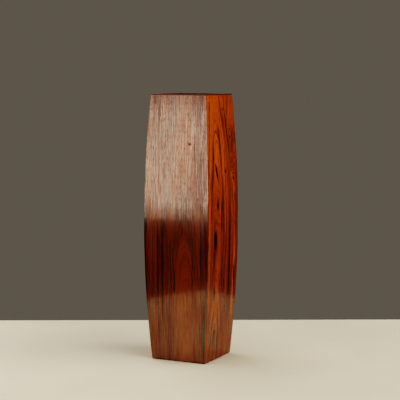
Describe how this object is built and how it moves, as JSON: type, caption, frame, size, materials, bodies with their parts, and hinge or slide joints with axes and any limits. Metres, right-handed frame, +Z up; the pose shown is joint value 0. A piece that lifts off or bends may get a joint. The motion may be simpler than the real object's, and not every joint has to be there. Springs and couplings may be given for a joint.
{
  "type": "pen and brush holder",
  "caption": "Tall square holder with bowed, mitred rosewood-veneered sides, an open well for long pens, brushes and rules, and a felt-covered foot.",
  "frame": {"origin": "middle of the felt's underside, on the surface that the holder stands on", "axes": "+Z up along the holder's axis, front face towards -Y, right face towards +X"},
  "size_m": [0.1066, 0.1066, 0.4],
  "materials": {
    "rosewood_veneer": "striped red-brown rosewood veneer, grain upright, glossy clear lacquer",
    "plywood_core": "birch plywood, raw",
    "lining_veneer": "dark stained veneer, matt sealer",
    "rosewood_lipping": "solid dark rosewood, lacquered",
    "softwood_fillet": "softwood stained dark, matt",
    "base_plywood": "birch plywood, top face stained dark",
    "screw_brass": "plain brass, slightly tarnished",
    "felt": "dense dark green-black wool felt"
  },
  "bodies": {
    "root": {"front_face_veneer": "rosewood_veneer", "right_face_veneer": "rosewood_veneer", "back_face_veneer": "rosewood_veneer", "left_face_veneer": "rosewood_veneer", "front_panel_core": "plywood_core", "right_panel_core": "plywood_core", "back_panel_core": "plywood_core", "left_panel_core": "plywood_core", "front_lining_veneer": "lining_veneer", "right_lining_veneer": "lining_veneer", "back_lining_veneer": "lining_veneer", "left_lining_veneer": "lining_veneer", "front_rim_lipping": "rosewood_lipping", "right_rim_lipping": "rosewood_lipping", "back_rim_lipping": "rosewood_lipping", "left_rim_lipping": "rosewood_lipping", "front_right_corner_fillet": "softwood_fillet", "back_right_corner_fillet": "softwood_fillet", "back_left_corner_fillet": "softwood_fillet", "front_left_corner_fillet": "softwood_fillet", "base_board": "base_plywood", "base_screws": "screw_brass", "base_felt": "felt"}
  },
  "joints": []
}
